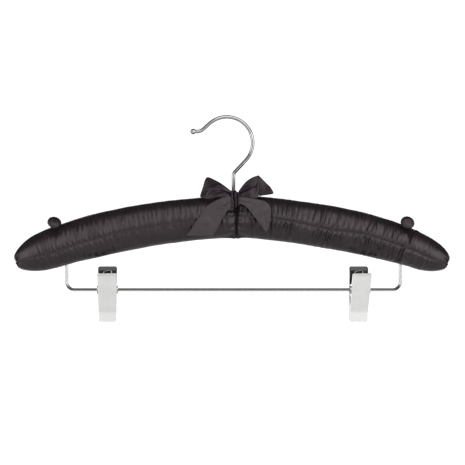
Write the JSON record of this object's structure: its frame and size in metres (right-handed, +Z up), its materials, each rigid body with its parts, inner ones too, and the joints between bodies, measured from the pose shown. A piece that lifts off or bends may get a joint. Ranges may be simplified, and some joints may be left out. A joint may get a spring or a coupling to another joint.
{
  "type": "padded clothes hanger",
  "caption": "Padded satin clothes hanger with a swivel wire hook, a ribbon bow, covered strap buttons and a wire trouser bar that carries two sliding spring clips.",
  "frame": {"origin": "the point inside the hook's arc that rests on the rail, straight above the stem", "axes": "+X along the arms to the right as seen from the bow's side, -Y to the front with the bow, +Z up"},
  "size_m": [0.381, 0.0346, 0.1826],
  "materials": {
    "satin": "charcoal polyester satin, soft sheen",
    "ribbon": "charcoal satin ribbon with woven edges",
    "thread": "dark sewing thread",
    "wadding": "white polyester wadding",
    "wood": "plain sanded softwood",
    "chrome_wire": "bright chrome-plated wire",
    "clip_plate": "chrome-plated pressed sheet",
    "rivet": "chrome-plated hollow rivet",
    "spring_wire": "zinc-plated spring wire",
    "steel": "plain steel",
    "grip": "soft grip pad"
  },
  "bodies": {
    "hanger": {"wood_core": "wood", "stem_bush": "steel", "stem_washer": "steel", "trouser_bar": "chrome_wire", "left_padding": "wadding", "right_padding": "wadding", "left_sleeve": "satin", "right_sleeve": "satin", "left_button_cover": "satin", "right_button_cover": "satin", "left_button_shell": "steel", "right_button_shell": "steel", "left_button_back": "steel", "right_button_back": "steel", "left_button_thread": "thread", "right_button_thread": "thread", "bow_left_loop": "ribbon", "bow_right_loop": "ribbon", "bow_left_tail": "ribbon", "bow_right_tail": "ribbon", "bow_knot": "ribbon", "bow_collar": "ribbon"},
    "hook": {"hook": "chrome_wire"},
    "left_clip_eyelet": {"left_clip_eyelet": "rivet"},
    "left_clip_front": {"left_clip_front_jaw": "clip_plate", "left_clip_front_pad": "grip", "left_clip_spring": "spring_wire"},
    "left_clip_rear": {"left_clip_rear_jaw": "clip_plate", "left_clip_rear_pad": "grip"},
    "right_clip_eyelet": {"right_clip_eyelet": "rivet"},
    "right_clip_front": {"right_clip_front_jaw": "clip_plate", "right_clip_front_pad": "grip", "right_clip_spring": "spring_wire"},
    "right_clip_rear": {"right_clip_rear_jaw": "clip_plate", "right_clip_rear_pad": "grip"}
  },
  "joints": [
    {"name": "hook_swivel", "type": "hinge", "parent": "hanger", "child": "hook", "pos_m": [0, 0, -0.06], "axis": [0, 0, 1], "continuous": true},
    {"name": "left_clip_slide", "type": "slide", "parent": "hanger", "child": "left_clip_eyelet", "axis": [1, 0, 0], "range_m": [-0.018, 0.098]},
    {"name": "left_clip_swing", "type": "hinge", "parent": "left_clip_eyelet", "child": "left_clip_front", "pos_m": [-0.1112, 0, -0.15], "axis": [0.9976, 0.0698, 0], "range_deg": [-135, 105]},
    {"name": "left_clip_open", "type": "hinge", "parent": "left_clip_front", "child": "left_clip_rear", "pos_m": [-0.1112, 0, -0.15], "axis": [0.9976, 0.0698, 0], "range_deg": [0, 36], "stiffness_Nm_per_rad": 0.12, "springref_deg": -28.65, "deforming": ["left_clip_spring"]},
    {"name": "right_clip_slide", "type": "slide", "parent": "hanger", "child": "right_clip_eyelet", "axis": [1, 0, 0], "range_m": [-0.098, 0.018]},
    {"name": "right_clip_swing", "type": "hinge", "parent": "right_clip_eyelet", "child": "right_clip_front", "pos_m": [0.1112, 0, -0.15], "axis": [0.9976, 0.0698, 0], "range_deg": [-135, 105]},
    {"name": "right_clip_open", "type": "hinge", "parent": "right_clip_front", "child": "right_clip_rear", "pos_m": [0.1112, 0, -0.15], "axis": [0.9976, 0.0698, 0], "range_deg": [0, 36], "stiffness_Nm_per_rad": 0.12, "springref_deg": -28.65, "deforming": ["right_clip_spring"]}
  ]
}
